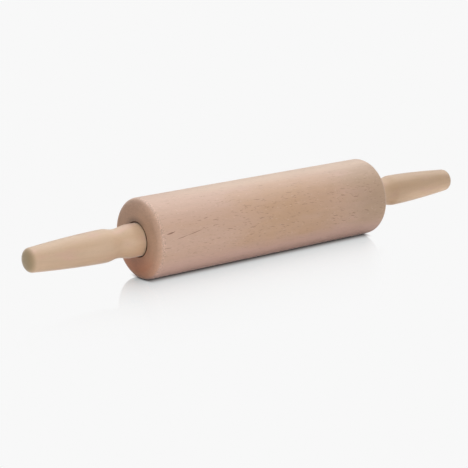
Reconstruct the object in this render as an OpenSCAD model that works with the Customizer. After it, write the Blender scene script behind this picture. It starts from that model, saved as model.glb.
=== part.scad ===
// A turned wooden rolling pin: its barrel spins on two ball bearings, on a steel axle that
// joins the two handles. The pin lies along X and +Z is up. The origin is the middle of the
// barrel, on the axle's line. All lengths are in millimetres.

/* [Barrel] */
// Diameter of the rolling surface
barrel_d = 65; // [56:1:80]
// Length of the barrel from end face to end face
barrel_len = 236; // [180:1:320]
// Radius of the barrel's rounded end edges
barrel_edge_r = 5.6; // [2:0.2:10]
// Depth of the recess in each end face, which takes the handle's collar
recess_depth = 12; // [9:0.5:20]
// Size of the small chamfer at the mouth of the recess
mouth_chamfer = 0.2; // [0.2:0.1:0.6]
// Clearance round the axle in the barrel's through bore, on the radius
bore_clearance = 0.8; // [0.5:0.1:2]

/* [Handles] */
// How far a handle stands out of the barrel's end face
handle_out = 100; // [80:1:120]
// Diameter of the straight collar that enters the barrel
collar_d = 26.7; // [25:0.1:30]
// Clearance round the collar in its recess, on the radius
collar_clearance = 0.5; // [0.4:0.1:1.2]
// Length of straight collar outside the barrel's end face
collar_out = 7.2; // [3:0.2:11]
// Diameter at the narrowest place of the neck
neck_d = 23; // [18:0.2:23.6]
// Distance from the barrel's end face to the narrowest place of the neck
neck_at = 20.5; // [16:0.5:26]
// Largest diameter of the grip
swell_d = 26.2; // [24:0.2:30]
// Distance from the barrel's end face to the largest diameter of the grip
swell_at = 31.5; // [28:0.5:44]
// Diameter that the grip's taper reaches at the handle's end
tip_d = 18.2; // [14:0.2:22]
// Length of the rounding at the handle's end
tip_len = 5.5; // [3:0.5:9]
// Power of the grip's taper: 1 is a straight cone, and more keeps the grip full for longer
taper_power = 1.6; // [1.2:0.1:2.2]
// Power of the end's rounding: 2 is an ellipse, and more is squarer
tip_power = 2.3; // [2:0.1:3]
// Size of the chamfer round the collar's inner face
collar_chamfer = 0.8; // [0.3:0.1:1.5]

/* [Axle] */
// Length of axle held in each handle's blind bore
axle_grip = 60; // [35:1:75]
// Empty length of the blind bore beyond the axle's end
bore_end_gap = 1; // [0.5:0.5:3]
// Tightness of the axle in the handle's bore, on the radius
axle_tightness = 0.05; // [0.02:0.01:0.1]
// Number of ring grooves that key each end of the axle in its handle
groove_count = 8; // [3:1:10]
// Width of a ring groove
groove_w = 2; // [1:0.1:2.5]
// Depth of a ring groove
groove_depth = 0.4; // [0.2:0.1:0.8]
// Size of the chamfer at each end of the axle
axle_chamfer = 1; // [0.5:0.1:1.5]

/* [Bearings] */
// Bore of a ball bearing, a standard size
bearing_bore = 8; // [7:0.5:9]
// Outside diameter of a ball bearing, a standard size
bearing_od = 22; // [21:0.5:24]
// Width of a ball bearing, a standard size
bearing_w = 7; // [7:0.5:9]
// Diameter of a ball
ball_d = 3.969; // [3.7:0.001:4.1]
// Number of balls in a bearing
ball_count = 7; // [5:1:7]
// Play between a ball and a race, on the radius
ball_play = 0.02; // [0.01:0.01:0.04]
// Radius of a race's groove for one millimetre of ball diameter
groove_ratio = 0.52; // [0.51:0.01:0.54]
// Height of a race's shoulders above the bottom of its groove
shoulder_h = 0.55; // [0.4:0.05:0.7]
// Size of the chamfers on a race's corners
race_chamfer = 0.3; // [0.1:0.1:0.4]
// Clearance of the axle in the bearing's bore, on the radius
axle_slip = 0.01; // [0.01:0.01:0.04]
// Clearance of the bearing in the barrel's seat, on the radius
seat_slip = 0.02; // [0.01:0.01:0.05]

/* [Cages] */
// Thickness of the sheet that a cage half is pressed from
cage_t = 0.35; // [0.2:0.05:0.4]
// Width of a cage half, measured along the radius
cage_w = 2.1; // [1.6:0.1:2.3]
// Clearance round a ball in its pocket
pocket_clearance = 0.11; // [0.05:0.01:0.15]
// Diameter of a rivet's shank
rivet_d = 0.7; // [0.5:0.1:0.8]
// Diameter of a rivet's head
rivet_head_d = 1.2; // [1.1:0.1:1.3]
// Height of a rivet's head
rivet_head_h = 0.25; // [0.15:0.05:0.35]
// Clearance round a rivet's shank in the cage
rivet_slip = 0.02; // [0.01:0.01:0.04]

/* [Shields] */
// Thickness of a shield's sheet
shield_t = 0.3; // [0.2:0.05:0.35]
// How far a shield's face lies below the bearing's face
shield_set = 0.35; // [0.2:0.05:0.4]
// How far a shield's rim reaches into the outer race, beyond its shoulder
shield_bite = 0.6; // [0.4:0.05:0.7]
// Height of the step between a shield's rim and its flat
shield_step = 0.12; // [0.05:0.01:0.15]
// Width of a shield's rim
shield_rim_w = 0.9; // [0.7:0.1:1.2]
// Gap between a shield and the inner race
shield_gap = 0.3; // [0.2:0.05:0.4]
// Clearance of a shield in its seat, on the radius
shield_slip = 0.02; // [0.01:0.01:0.04]

/* [Washers] */
// Outside diameter of the washer between a bearing and its handle
washer_d = 12; // [11:0.1:12.4]
// Thickness of the washer
washer_t = 1; // [0.5:0.1:2]

/* [Hidden] */
$fn = 96;

LEFT = -1;
RIGHT = 1;
INWARD = -1;
OUTWARD = 1;

// How far a cutting shape runs past the surface that it cuts
past = 1;

// Distances along the pin, from its middle
end_face = barrel_len / 2;
recess_floor = end_face - recess_depth;
bearing_mid = recess_floor - bearing_w / 2;
handle_face = recess_floor + washer_t;
axle_half = handle_face + axle_grip;

// The barrel's bore and seats
barrel_r = barrel_d / 2;
axle_r = bearing_bore / 2 - axle_slip;
barrel_bore_r = axle_r + bore_clearance;
seat_r = bearing_od / 2 + seat_slip;
recess_r = collar_d / 2 + collar_clearance;

// The handle's outline
collar_r = collar_d / 2;
neck_r = neck_d / 2;
swell_r = swell_d / 2;
tip_r = tip_d / 2;
tip_from = handle_out - tip_len;
handle_bore_r = axle_r - axle_tightness;
curve_steps = 12;
taper_steps = 24;

// The ring grooves on the axle's ends, evenly spaced over the length in the handle
groove_pitch = axle_grip / (groove_count + 1);
groove_bottom_r = axle_r - groove_depth;
function groove_mid(i) = handle_face + i * groove_pitch;

// The bearing's races
pitch_r = (bearing_bore + bearing_od) / 4;
ball_r = ball_d / 2;
race_groove_r = groove_ratio * ball_d;
inner_bottom_r = pitch_r - ball_r - ball_play;
outer_bottom_r = pitch_r + ball_r + ball_play;
inner_shoulder_r = inner_bottom_r + shoulder_h;
outer_shoulder_r = outer_bottom_r - shoulder_h;

// The bearing's shields
shield_outer_r = outer_shoulder_r + shield_bite;
shield_inner_r = inner_shoulder_r + shield_gap;
shield_seat_r = shield_outer_r + shield_slip;
shield_face = bearing_w / 2 - shield_set;
shield_back = shield_face - shield_t;

// The bearing's cage
pocket_r = ball_r + pocket_clearance;
cage_inner_r = pitch_r - cage_w / 2;
cage_outer_r = pitch_r + cage_w / 2;
ball_step = 360 / ball_count;

// Colours of the finishes
beech = "#c8a68c";
pale_beech = "#d6bb97";
bright_steel = "#c4c7cb";
ball_steel = "#d9dcdf";
sheet_steel = "#a9abae";

// Slow start and finish between 0 and 1
function ease(t) = (1 - cos(180 * t)) / 2;

// Points [radius, distance] of an S-shaped curve from one radius to another
function curve(r_from, s_from, r_to, s_to) = [
    for (i = [1:curve_steps])
        let (t = i / curve_steps)
        [r_from + (r_to - r_from) * ease(t), s_from + (s_to - s_from) * t]
];

// Radius of the grip's taper at a distance from the barrel's end face
function taper_r(s) =
    let (t = (s - swell_at) / (handle_out - swell_at))
    swell_r - (swell_r - tip_r) * pow(t, taper_power);

function taper_points() = [
    for (i = [1:taper_steps])
        let (s = swell_at + (tip_from - swell_at) * i / taper_steps)
        [taper_r(s), s]
];

// The end's rounding: the taper, drawn in to nothing over the last stretch
function tip_points() = [
    for (i = [1:curve_steps])
        let (a = 90 * i / curve_steps)
        let (s = tip_from + tip_len * pow(sin(a), 2 / tip_power))
        [taper_r(s) * pow(cos(a), 2 / tip_power), s]
];

// The handle's outline from the collar's inner face to its end, as points
// [radius, distance from the pin's middle]
function handle_outline() = concat(
    [[0, handle_face]],
    [[collar_r - collar_chamfer, handle_face]],
    [[collar_r, handle_face + collar_chamfer]],
    [
        for (p = concat(
            [[collar_r, collar_out]],
            curve(collar_r, collar_out, neck_r, neck_at),
            curve(neck_r, neck_at, swell_r, swell_at),
            taper_points(),
            tip_points()
        ))
            [p[0], end_face + p[1]]
    ]
);

// Stands what is drawn along +Z along the pin, towards one of its ends
module towards(side, distance = 0) {
    rotate([0, side * 90, 0])
        translate([0, 0, distance])
            children();
}

// Repeats a child once for each ball round the pitch circle, from a first angle
module round_pitch(first = 0) {
    for (i = [0:ball_count - 1])
        rotate([0, 0, first + i * ball_step])
            translate([pitch_r, 0, 0])
                children();
}

module ring(inner_r, outer_r, height) {
    difference() {
        cylinder(r = outer_r, h = height);
        translate([0, 0, -past])
            cylinder(r = inner_r, h = height + 2 * past);
    }
}

module barrel_section() {
    edge_at = barrel_r - barrel_edge_r;
    translate([0, -barrel_len / 2])
        square([edge_at, barrel_len]);
    translate([0, barrel_edge_r - barrel_len / 2])
        square([barrel_r, barrel_len - 2 * barrel_edge_r]);
    for (side = [LEFT, RIGHT])
        translate([edge_at, side * (end_face - barrel_edge_r)])
            circle(r = barrel_edge_r);
}

// What is turned out of one end of the barrel: the bearing's seat, the recess and its mouth
module end_cutout_section(side) {
    mirror([0, side == LEFT ? 1 : 0])
        polygon([
            [0, recess_floor - bearing_w],
            [seat_r, recess_floor - bearing_w],
            [seat_r, recess_floor],
            [recess_r, recess_floor],
            [recess_r, end_face - mouth_chamfer],
            [recess_r + mouth_chamfer + past, end_face + past],
            [0, end_face + past]
        ]);
}

module barrel() {
    color(beech)
        rotate([0, 90, 0])
            rotate_extrude()
                difference() {
                    intersection() {
                        barrel_section();
                        translate([barrel_bore_r, -barrel_len / 2])
                            square([barrel_r, barrel_len]);
                    }
                    end_cutout_section(LEFT);
                    end_cutout_section(RIGHT);
                }
}

module axle() {
    color(bright_steel)
        rotate([0, 90, 0])
            rotate_extrude()
                difference() {
                    polygon([
                        [0, -axle_half],
                        [axle_r - axle_chamfer, -axle_half],
                        [axle_r, axle_chamfer - axle_half],
                        [axle_r, axle_half - axle_chamfer],
                        [axle_r - axle_chamfer, axle_half],
                        [0, axle_half]
                    ]);
                    for (side = [LEFT, RIGHT])
                        for (i = [1:groove_count])
                            translate([groove_bottom_r, side * groove_mid(i) - groove_w / 2])
                                square([axle_r, groove_w]);
                }
}

module handle(side) {
    color(pale_beech)
        towards(side)
            difference() {
                rotate_extrude()
                    polygon(handle_outline());
                translate([0, 0, handle_face - past])
                    cylinder(r = handle_bore_r, h = past + axle_grip + bore_end_gap);
            }
}

module outer_race(side) {
    color(bright_steel)
        towards(side, bearing_mid)
            rotate_extrude()
                difference() {
                    polygon([
                        [outer_shoulder_r, -shield_back],
                        [shield_seat_r, -shield_back],
                        [shield_seat_r, -bearing_w / 2],
                        [bearing_od / 2 - race_chamfer, -bearing_w / 2],
                        [bearing_od / 2, race_chamfer - bearing_w / 2],
                        [bearing_od / 2, bearing_w / 2 - race_chamfer],
                        [bearing_od / 2 - race_chamfer, bearing_w / 2],
                        [shield_seat_r, bearing_w / 2],
                        [shield_seat_r, shield_back],
                        [outer_shoulder_r, shield_back]
                    ]);
                    translate([outer_bottom_r - race_groove_r, 0])
                        circle(r = race_groove_r);
                }
}

module inner_race(side) {
    color(bright_steel)
        towards(side, bearing_mid)
            rotate_extrude()
                difference() {
                    polygon([
                        [bearing_bore / 2, race_chamfer - bearing_w / 2],
                        [bearing_bore / 2 + race_chamfer, -bearing_w / 2],
                        [inner_shoulder_r, -bearing_w / 2],
                        [inner_shoulder_r, bearing_w / 2],
                        [bearing_bore / 2 + race_chamfer, bearing_w / 2],
                        [bearing_bore / 2, bearing_w / 2 - race_chamfer]
                    ]);
                    translate([inner_bottom_r + race_groove_r, 0])
                        circle(r = race_groove_r);
                }
}

module balls(side) {
    color(ball_steel)
        towards(side, bearing_mid)
            round_pitch()
                sphere(r = ball_r);
}

// A ring of pressed sheet with a round pocket over each ball. The outward half faces the
// pin's end, and the inward half its middle.
module cage_half(side, direction) {
    color(sheet_steel)
        towards(side, bearing_mid)
            difference() {
                intersection() {
                    mirror([0, 0, direction == INWARD ? 1 : 0])
                        ring(cage_inner_r, cage_outer_r, bearing_w);
                    union() {
                        translate([0, 0, -cage_t])
                            cylinder(r = bearing_od / 2, h = 2 * cage_t);
                        round_pitch()
                            sphere(r = pocket_r + cage_t);
                    }
                }
                round_pitch()
                    sphere(r = pocket_r);
                round_pitch(ball_step / 2)
                    cylinder(d = rivet_d + 2 * rivet_slip, h = bearing_w, center = true);
            }
}

module cage_rivets(side) {
    color(bright_steel)
        towards(side, bearing_mid)
            round_pitch(ball_step / 2) {
                cylinder(d = rivet_d, h = 2 * cage_t + rivet_head_h, center = true);
                for (face = [INWARD, OUTWARD])
                    translate([0, 0, face * (cage_t + rivet_head_h / 2)])
                        cylinder(d = rivet_head_d, h = rivet_head_h, center = true);
            }
}

// A pressed ring with a low step between its rim, which sits in the outer race, and its flat
module shield(side, direction) {
    step_r = shield_outer_r - shield_rim_w;
    color(sheet_steel)
        towards(side, bearing_mid)
            mirror([0, 0, direction == INWARD ? 1 : 0])
                rotate_extrude()
                    polygon([
                        [shield_outer_r, shield_back],
                        [shield_outer_r, shield_face],
                        [step_r, shield_face],
                        [step_r - shield_step, shield_face + shield_step],
                        [shield_inner_r, shield_face + shield_step],
                        [shield_inner_r, shield_back + shield_step],
                        [step_r - shield_step, shield_back + shield_step],
                        [step_r, shield_back]
                    ]);
}

module washer(side) {
    color(bright_steel)
        towards(side, recess_floor)
            ring(bearing_bore / 2, washer_d / 2, washer_t);
}

module left_handle() handle(LEFT);
module right_handle() handle(RIGHT);
module left_outer_race() outer_race(LEFT);
module right_outer_race() outer_race(RIGHT);
module left_inner_race() inner_race(LEFT);
module right_inner_race() inner_race(RIGHT);
module left_balls() balls(LEFT);
module right_balls() balls(RIGHT);
module left_cage_inner_half() cage_half(LEFT, INWARD);
module right_cage_inner_half() cage_half(RIGHT, INWARD);
module left_cage_outer_half() cage_half(LEFT, OUTWARD);
module right_cage_outer_half() cage_half(RIGHT, OUTWARD);
module left_cage_rivets() cage_rivets(LEFT);
module right_cage_rivets() cage_rivets(RIGHT);
module left_inner_shield() shield(LEFT, INWARD);
module right_inner_shield() shield(RIGHT, INWARD);
module left_outer_shield() shield(LEFT, OUTWARD);
module right_outer_shield() shield(RIGHT, OUTWARD);
module left_washer() washer(LEFT);
module right_washer() washer(RIGHT);

barrel();
axle();
left_handle();
right_handle();
left_outer_race();
right_outer_race();
left_inner_race();
right_inner_race();
left_balls();
right_balls();
left_cage_inner_half();
right_cage_inner_half();
left_cage_outer_half();
right_cage_outer_half();
left_cage_rivets();
right_cage_rivets();
left_inner_shield();
right_inner_shield();
left_outer_shield();
right_outer_shield();
left_washer();
right_washer();
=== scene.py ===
"""Looks of a turned wooden rolling pin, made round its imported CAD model.

The pin lies along X, +Z is up, and the origin is the middle of the barrel on its axis. Shapes
and the studio are in metres. The patterns of the finishes are in millimetres.
"""

import logging
import math
from collections.abc import Callable, Mapping, Sequence
from dataclasses import dataclass
from enum import Enum
from typing import Any

import bmesh
import bpy
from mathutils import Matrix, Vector


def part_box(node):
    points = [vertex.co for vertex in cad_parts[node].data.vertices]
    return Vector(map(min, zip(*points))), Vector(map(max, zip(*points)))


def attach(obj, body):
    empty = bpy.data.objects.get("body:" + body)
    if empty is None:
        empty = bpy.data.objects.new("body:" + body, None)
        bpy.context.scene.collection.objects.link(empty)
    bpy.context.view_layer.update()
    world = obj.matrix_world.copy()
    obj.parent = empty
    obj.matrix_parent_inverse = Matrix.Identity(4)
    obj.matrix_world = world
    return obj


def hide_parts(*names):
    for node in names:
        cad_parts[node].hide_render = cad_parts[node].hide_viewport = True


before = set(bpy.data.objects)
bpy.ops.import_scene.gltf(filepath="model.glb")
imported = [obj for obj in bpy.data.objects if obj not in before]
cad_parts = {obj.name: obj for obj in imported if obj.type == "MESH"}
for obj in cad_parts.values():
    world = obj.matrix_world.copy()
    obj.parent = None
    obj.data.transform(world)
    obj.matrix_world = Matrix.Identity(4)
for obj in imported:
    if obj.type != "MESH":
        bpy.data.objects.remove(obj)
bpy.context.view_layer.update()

LOG = logging.getLogger("rolling_pin")

MM = 0.001
PER_MM = 1000.0
SAME_PLACE = 1e-6
ROUND_PROFILE = 0.5

BLACK = (0.0, 0.0, 0.0, 1.0)

Colour = tuple[float, float, float]
Outline = list[tuple[float, float]]


def linear(colour: Colour) -> tuple[float, float, float, float]:
    """Turns a colour as it looks on a screen into the numbers that a shader takes.

    Args:
        colour: Red, green and blue from 0 to 255.

    Returns:
        Red, green, blue and an alpha of 1.
    """
    brightest, knee, slope, offset, power = 255, 0.04045, 12.92, 0.055, 2.4
    parts = []
    for channel in colour:
        value = channel / brightest
        low, high = value / slope, ((value + offset) / (1 + offset)) ** power
        parts.append(low if value <= knee else high)
    return parts[0], parts[1], parts[2], 1.0


def ease(t: float) -> float:
    """Slow start and finish between 0 and 1."""
    return (1 - math.cos(math.pi * t)) / 2


# Shader graphs


@dataclass(frozen=True)
class Term:
    """An output socket that Python's arithmetic can work on: each operator adds a Math node.

    Attributes:
        graph: The graph that the node is in.
        socket: The output, or nothing for a node that has none.
    """

    graph: "Graph"
    socket: bpy.types.NodeSocket | None

    def __add__(self, other: "Term | float") -> "Term":
        """Sum of two values."""
        return self.graph.math("ADD", self, other)

    def __radd__(self, other: float) -> "Term":
        """Sum of two values."""
        return self.graph.math("ADD", other, self)

    def __sub__(self, other: "Term | float") -> "Term":
        """Difference of two values."""
        return self.graph.math("SUBTRACT", self, other)

    def __rsub__(self, other: float) -> "Term":
        """Difference of two values."""
        return self.graph.math("SUBTRACT", other, self)

    def __mul__(self, other: "Term | float") -> "Term":
        """Product of two values."""
        return self.graph.math("MULTIPLY", self, other)

    def __rmul__(self, other: float) -> "Term":
        """Product of two values."""
        return self.graph.math("MULTIPLY", other, self)

    def __truediv__(self, other: "Term | float") -> "Term":
        """Quotient of two values."""
        return self.graph.math("DIVIDE", self, other)

    def __abs__(self) -> "Term":
        """Value without its sign."""
        return self.graph.math("ABSOLUTE", self)


class Graph:
    """The node tree of one material or of the world."""

    def __init__(self, tree: bpy.types.NodeTree) -> None:
        """Clears a node tree and takes it over.

        Args:
            tree: The tree to fill.
        """
        self.tree = tree
        self.tree.nodes.clear()

    def node(
        self,
        kind: str,
        settings: Mapping[str, Any] | None = None,
        inputs: Mapping[str, Any] | None = None,
        output: str = "",
    ) -> Term:
        """Adds a node.

        Args:
            kind: The node's type.
            settings: Its own settings.
            inputs: Values or links of its sockets, by the sockets' identifiers.
            output: Identifier of the output that is wanted, or nothing for the first.

        Returns:
            The wanted output, or the node's first one.
        """
        made = self.tree.nodes.new(kind)
        for name, value in (settings or {}).items():
            setattr(made, name, value)
        for name, value in (inputs or {}).items():
            socket = next(s for s in made.inputs if s.identifier == name)
            if isinstance(value, Term):
                self.tree.links.new(value.socket, socket)
            else:
                socket.default_value = value
        if not made.outputs:
            return Term(self, None)
        found = [s for s in made.outputs if s.identifier == output] or [made.outputs[0]]
        return Term(self, found[0])

    def math(self, operation: str, *values: Term | float, clamp: bool = False) -> Term:
        """Adds a Math node.

        Args:
            operation: The Math node's operation.
            values: Its operands.
            clamp: Whether the result is held between 0 and 1.

        Returns:
            The result.
        """
        names = ("Value", "Value_001", "Value_002")
        return self.node(
            "ShaderNodeMath",
            {"operation": operation, "use_clamp": clamp},
            dict(zip(names, values)),
        )

    def between(self, value: Term, low: float, high: float) -> Term:
        """Smooth step: 0 where the value is at low, 1 where it is at high.

        Args:
            value: What is compared.
            low: Where the result is 0. It may be the greater of the two.
            high: Where the result is 1.

        Returns:
            A mask from 0 to 1.
        """
        if low > high:
            return 1 - self.between(value, high, low)
        return self.node(
            "ShaderNodeMapRange",
            {"interpolation_type": "SMOOTHSTEP"},
            {"Value": value, "From Min": low, "From Max": high},
        )

    def hypot(self, one: Term, other: Term) -> Term:
        """Distance covered by two steps at right angles."""
        return self.math("SQRT", one * one + other * other)

    def place(self, x: Term | float, y: Term | float, z: Term | float) -> Term:
        """Makes a vector of three values."""
        return self.node("ShaderNodeCombineXYZ", None, {"X": x, "Y": y, "Z": z})

    def axes(self, vector: Term) -> tuple[Term, Term, Term]:
        """Splits a vector into its three values.

        Args:
            vector: The vector to split.

        Returns:
            Its X, Y and Z.
        """
        split = self.tree.nodes.new("ShaderNodeSeparateXYZ")
        self.tree.links.new(vector.socket, split.inputs[0])
        return tuple(Term(self, socket) for socket in split.outputs)

    def noise(self, where: Term, detail: float = 2.0, roughness: float = 0.5) -> Term:
        """Adds a cloudy pattern that has one patch to each unit of length.

        Args:
            where: The place in the pattern.
            detail: Number of finer patterns laid over it.
            roughness: Strength of each finer pattern beside the one before.

        Returns:
            A value round 0, and within about half a unit of it.
        """
        cloud = self.node(
            "ShaderNodeTexNoise",
            None,
            {"Vector": where, "Scale": 1.0, "Detail": detail, "Roughness": roughness},
        )
        return cloud - 0.5

    def blend(
        self,
        share: Term | float,
        first: Term | Colour | Sequence[float],
        second: Term | Colour | Sequence[float],
        mode: str = "MIX",
    ) -> Term:
        """Mixes two colours.

        Args:
            share: How far the result goes from the first colour to the second.
            first: The colour underneath.
            second: The colour laid over it.
            mode: The Mix node's way of laying it over.

        Returns:
            The mixed colour.
        """
        return self.node(
            "ShaderNodeMix",
            {"data_type": "RGBA", "blend_type": mode, "clamp_factor": True},
            {"Factor_Float": share, "A_Color": first, "B_Color": second},
            "Result_Color",
        )

    def scale(self, vector: Term | Sequence[float], factor: Term | float) -> Term:
        """Multiplies a vector by a value, which makes a colour lighter or darker.

        Args:
            vector: The vector or colour to change.
            factor: What it is multiplied by.

        Returns:
            The changed vector or colour.
        """
        inputs = {"Vector": vector, "Scale": factor}
        return self.node("ShaderNodeVectorMath", {"operation": "SCALE"}, inputs)

    def relief(self, height_mm: Term) -> Term:
        """Turns a height into the slope that a surface is lit by.

        Args:
            height_mm: Height above the surface, in millimetres.

        Returns:
            A surface direction for a shader's Normal socket.
        """
        inputs = {"Height": height_mm, "Distance": MM, "Strength": 1.0}
        return self.node("ShaderNodeBump", None, inputs)


# Patterns


@dataclass(frozen=True)
class Spot:
    """A place on a piece, in millimetres.

    Attributes:
        graph: The graph that works it out.
        x: How far it lies along the pin from the barrel's middle.
        y: How far it lies behind the pin's axis.
        z: How far it lies above that axis.
    """

    graph: Graph
    x: Term
    y: Term
    z: Term | float

    def from_axis(self) -> Term:
        """Distance from the pin's axis."""
        return self.graph.hypot(self.y, self.z)


@dataclass(frozen=True)
class Fade:
    """A soft-edged area, by the values of a measure between which it comes up.

    Attributes:
        outside: Value at which nothing of it shows.
        inside: Value at which all of it shows. It may be the smaller of the two.
        strength: How much that is.
    """

    outside: float
    inside: float
    strength: float = 1.0

    def mask(self, value: Term) -> Term:
        """Draws the area.

        Args:
            value: The measure.

        Returns:
            A mask from 0 to the strength.
        """
        shown = value.graph.between(value, self.outside, self.inside)
        return shown if self.strength == 1.0 else shown * self.strength


@dataclass(frozen=True)
class Clouds:
    """Cloudy patches.

    Attributes:
        along_mm: Their length along the pin.
        across_mm: Their size across the pin.
        detail: Number of finer patches laid over them.
        roughness: Strength of each finer layer beside the one before.
        strength: How far they change what they are added to.
    """

    along_mm: float
    across_mm: float
    detail: float = 1.0
    roughness: float = 0.5
    strength: float = 1.0

    def over(self, spot: Spot, shift: tuple[float, float, float] = (0.0, 0.0, 0.0)) -> Term:
        """Lays the patches over a piece.

        Args:
            spot: The place on the piece.
            shift: Moves the patches, in units of their own size.

        Returns:
            A value round 0.
        """
        sizes = (self.along_mm, self.across_mm, self.across_mm)
        axes = []
        for value, size, move in zip((spot.x, spot.y, spot.z), sizes, shift):
            axes.append(value / size + move if move else value / size)
        patches = spot.graph.noise(spot.graph.place(*axes), self.detail, self.roughness)
        return patches if self.strength == 1.0 else patches * self.strength


# Finishes


def new_material(name: str) -> tuple[bpy.types.Material, Graph]:
    """Starts a material.

    Args:
        name: Its name.

    Returns:
        The empty material and its graph.
    """
    material = bpy.data.materials.new(name)
    material.use_nodes = True
    return material, Graph(material.node_tree)


class Finish:
    """A finish: a material that is worked out from places on the piece that wears it.

    Attributes:
        name: The material's name.
    """

    name: str

    def start(self) -> tuple[bpy.types.Material, Spot]:
        """Starts the material.

        Returns:
            The empty material and the place on the piece.
        """
        material, graph = new_material(self.name)
        place = graph.node("ShaderNodeTexCoord", None, None, "Object")
        return material, Spot(graph, *graph.axes(graph.scale(place, PER_MM)))

    def close(
        self,
        graph: Graph,
        inputs: Mapping[str, Any],
        patch: Mapping[str, Any] | None = None,
        share: Term | float = 0.0,
    ) -> None:
        """Ends the graph in a surface shader, or in two where a patch differs in gloss.

        Args:
            graph: The graph to end.
            inputs: Sockets of the surface shader, by their names.
            patch: Sockets of the patch's shader.
            share: Where the patch is, from 0 to 1.
        """
        surface = graph.node("ShaderNodeBsdfPrincipled", None, inputs)
        if patch:
            shaders = {
                "Fac": share,
                "Shader": surface,
                "Shader_001": graph.node("ShaderNodeBsdfPrincipled", None, patch),
            }
            surface = graph.node("ShaderNodeMixShader", None, shaders)
        graph.node("ShaderNodeOutputMaterial", None, {"Surface": surface})


# Wood


@dataclass(frozen=True)
class Grain:
    """A place in the log, in millimetres.

    Attributes:
        along: How far it lies along the grain.
        across: How far it lies round the pith.
        out: How far it lies out from the pith.
    """

    along: Term
    across: Term
    out: Term

    def stretched(self, along_mm: float, across_mm: float, out_mm: float) -> Term:
        """Gives the place in units of a pattern's own size.

        Args:
            along_mm: Length of one unit along the grain.
            across_mm: Length of one unit round the pith.
            out_mm: Length of one unit out from the pith.

        Returns:
            The place, for a texture.
        """
        graph = self.along.graph
        return graph.place(self.along / along_mm, self.across / across_mm, self.out / out_mm)


@dataclass(frozen=True)
class Log:
    """How a turned piece lay in the log it was cut from.

    Attributes:
        pith_mm: Distance from the piece's axis to the pith of the log.
        pith_deg: Direction away from the pith, round the pin from -Y up towards +Z.
        slope: How far the grain climbs round the piece for one unit along it.
        wander_mm: How far the grain strays from a straight line.
        ring_mm: Width of a year's growth.
        seed: Moves every pattern, so that no two pieces share theirs.
        bend: The long sweeps in which it strays, twice as far as in the curls.
        curl: The short curls in which it strays.
    """

    pith_mm: float
    pith_deg: float
    slope: float = 0.02
    wander_mm: float = 1.6
    ring_mm: float = 2.6
    seed: float = 0.0
    bend: Clouds = Clouds(along_mm=62.0, across_mm=40.0)
    curl: Clouds = Clouds(along_mm=17.0, across_mm=9.0)

    def grain(self, spot: Spot) -> Grain:
        """Works out where a place lies in the log.

        Args:
            spot: The place on the piece.

        Returns:
            The place along the grain, round the pith and out from it.
        """
        away_y = -math.cos(math.radians(self.pith_deg))
        away_z = math.sin(math.radians(self.pith_deg))
        out = spot.y * away_y + spot.z * away_z + self.pith_mm
        aside = spot.z * away_y - spot.y * away_z
        shift = (self.seed, 0.0, 0.0)
        sweep = self.bend.over(spot, shift) * (2 * self.wander_mm)
        stray = sweep + self.curl.over(spot, shift) * self.wander_mm
        angle = spot.graph.math("ARCTAN2", aside, out)
        round_pith = angle * self.pith_mm + spot.x * self.slope + stray
        radius = spot.graph.hypot(out, aside) + sweep
        return Grain(spot.x + self.seed * PER_MM, round_pith, radius)


@dataclass(frozen=True)
class Streaks:
    """Soft streaks that run with the grain.

    Attributes:
        length_mm: Their length.
        width_mm: Their width round the pith.
        strength: How far they change what they are added to.
        detail: Number of finer streaks laid over them.
        flat: Their width out from the pith, beside that round the pith.
    """

    length_mm: float
    width_mm: float
    strength: float = 1.0
    detail: float = 2.0
    flat: float = 2.2

    def along(self, grain: Grain) -> Term:
        """Lays the streaks along the grain.

        Args:
            grain: The place in the log.

        Returns:
            A value round 0.
        """
        where = grain.stretched(self.length_mm, self.width_mm, self.flat * self.width_mm)
        streaks = grain.along.graph.noise(where, self.detail)
        return streaks if self.strength == 1.0 else streaks * self.strength


@dataclass(frozen=True)
class Rays:
    """Wood rays: thin upright leaves that show as short flecks where they are cut across.

    A pattern of cells is stretched to the rays' shape, and a ray stands in the middle of a cell.

    Attributes:
        length_mm: Height of a leaf along the grain.
        width_mm: Its thickness.
        depth_mm: How far it runs out from the pith.
        share: How many of the cells hold a ray, from 0 to 1.
        reach: Half a ray's size beside that of its cell.
        smallest: Size of the smallest ray beside that of the greatest.
        crisp: How sharp the rays' borders are.
        faint: Share of the cells that hold only a faint ray.
        stray: How far a ray bends aside, in thicknesses.
        bend: Length of such a bend beside the ray's own.
        bend_mm: Size of such a bend round the pith and out from it.
    """

    length_mm: float
    width_mm: float
    depth_mm: float
    share: float
    reach: float = 0.34
    smallest: float = 0.45
    crisp: float = 2.2
    faint: float = 0.02
    stray: float = 3.4
    bend: float = 0.45
    bend_mm: tuple[float, float] = (5.0, 9.0)

    def mask(self, grain: Grain) -> Term:
        """Draws the rays.

        Args:
            grain: The place in the log.

        Returns:
            A mask that is 1 in the middle of a ray.
        """
        graph = grain.along.graph
        bends = graph.noise(grain.stretched(self.bend * self.length_mm, *self.bend_mm))
        waver = bends * (self.stray * self.width_mm)
        where = graph.place(
            grain.along * (2 * self.reach / self.length_mm),
            (grain.across + waver) * (2 * self.reach / self.width_mm),
            grain.out / self.depth_mm,
        )
        settings = {"voronoi_dimensions": "3D", "feature": "F1"}
        inputs = {"Vector": where, "Scale": 1.0, "Randomness": 1.0}
        cells = graph.node("ShaderNodeTexVoronoi", settings, inputs, "Distance")
        chance = Term(graph, cells.socket.node.outputs["Color"])
        size, luck, _ = graph.axes(chance)
        there = graph.between(luck, 1 - self.share, 1 + self.faint - self.share)
        edge = self.reach * (self.smallest + (1 - self.smallest) * size)
        return graph.math("MULTIPLY", 1.0 - cells / edge, self.crisp, clamp=True) * there


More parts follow.
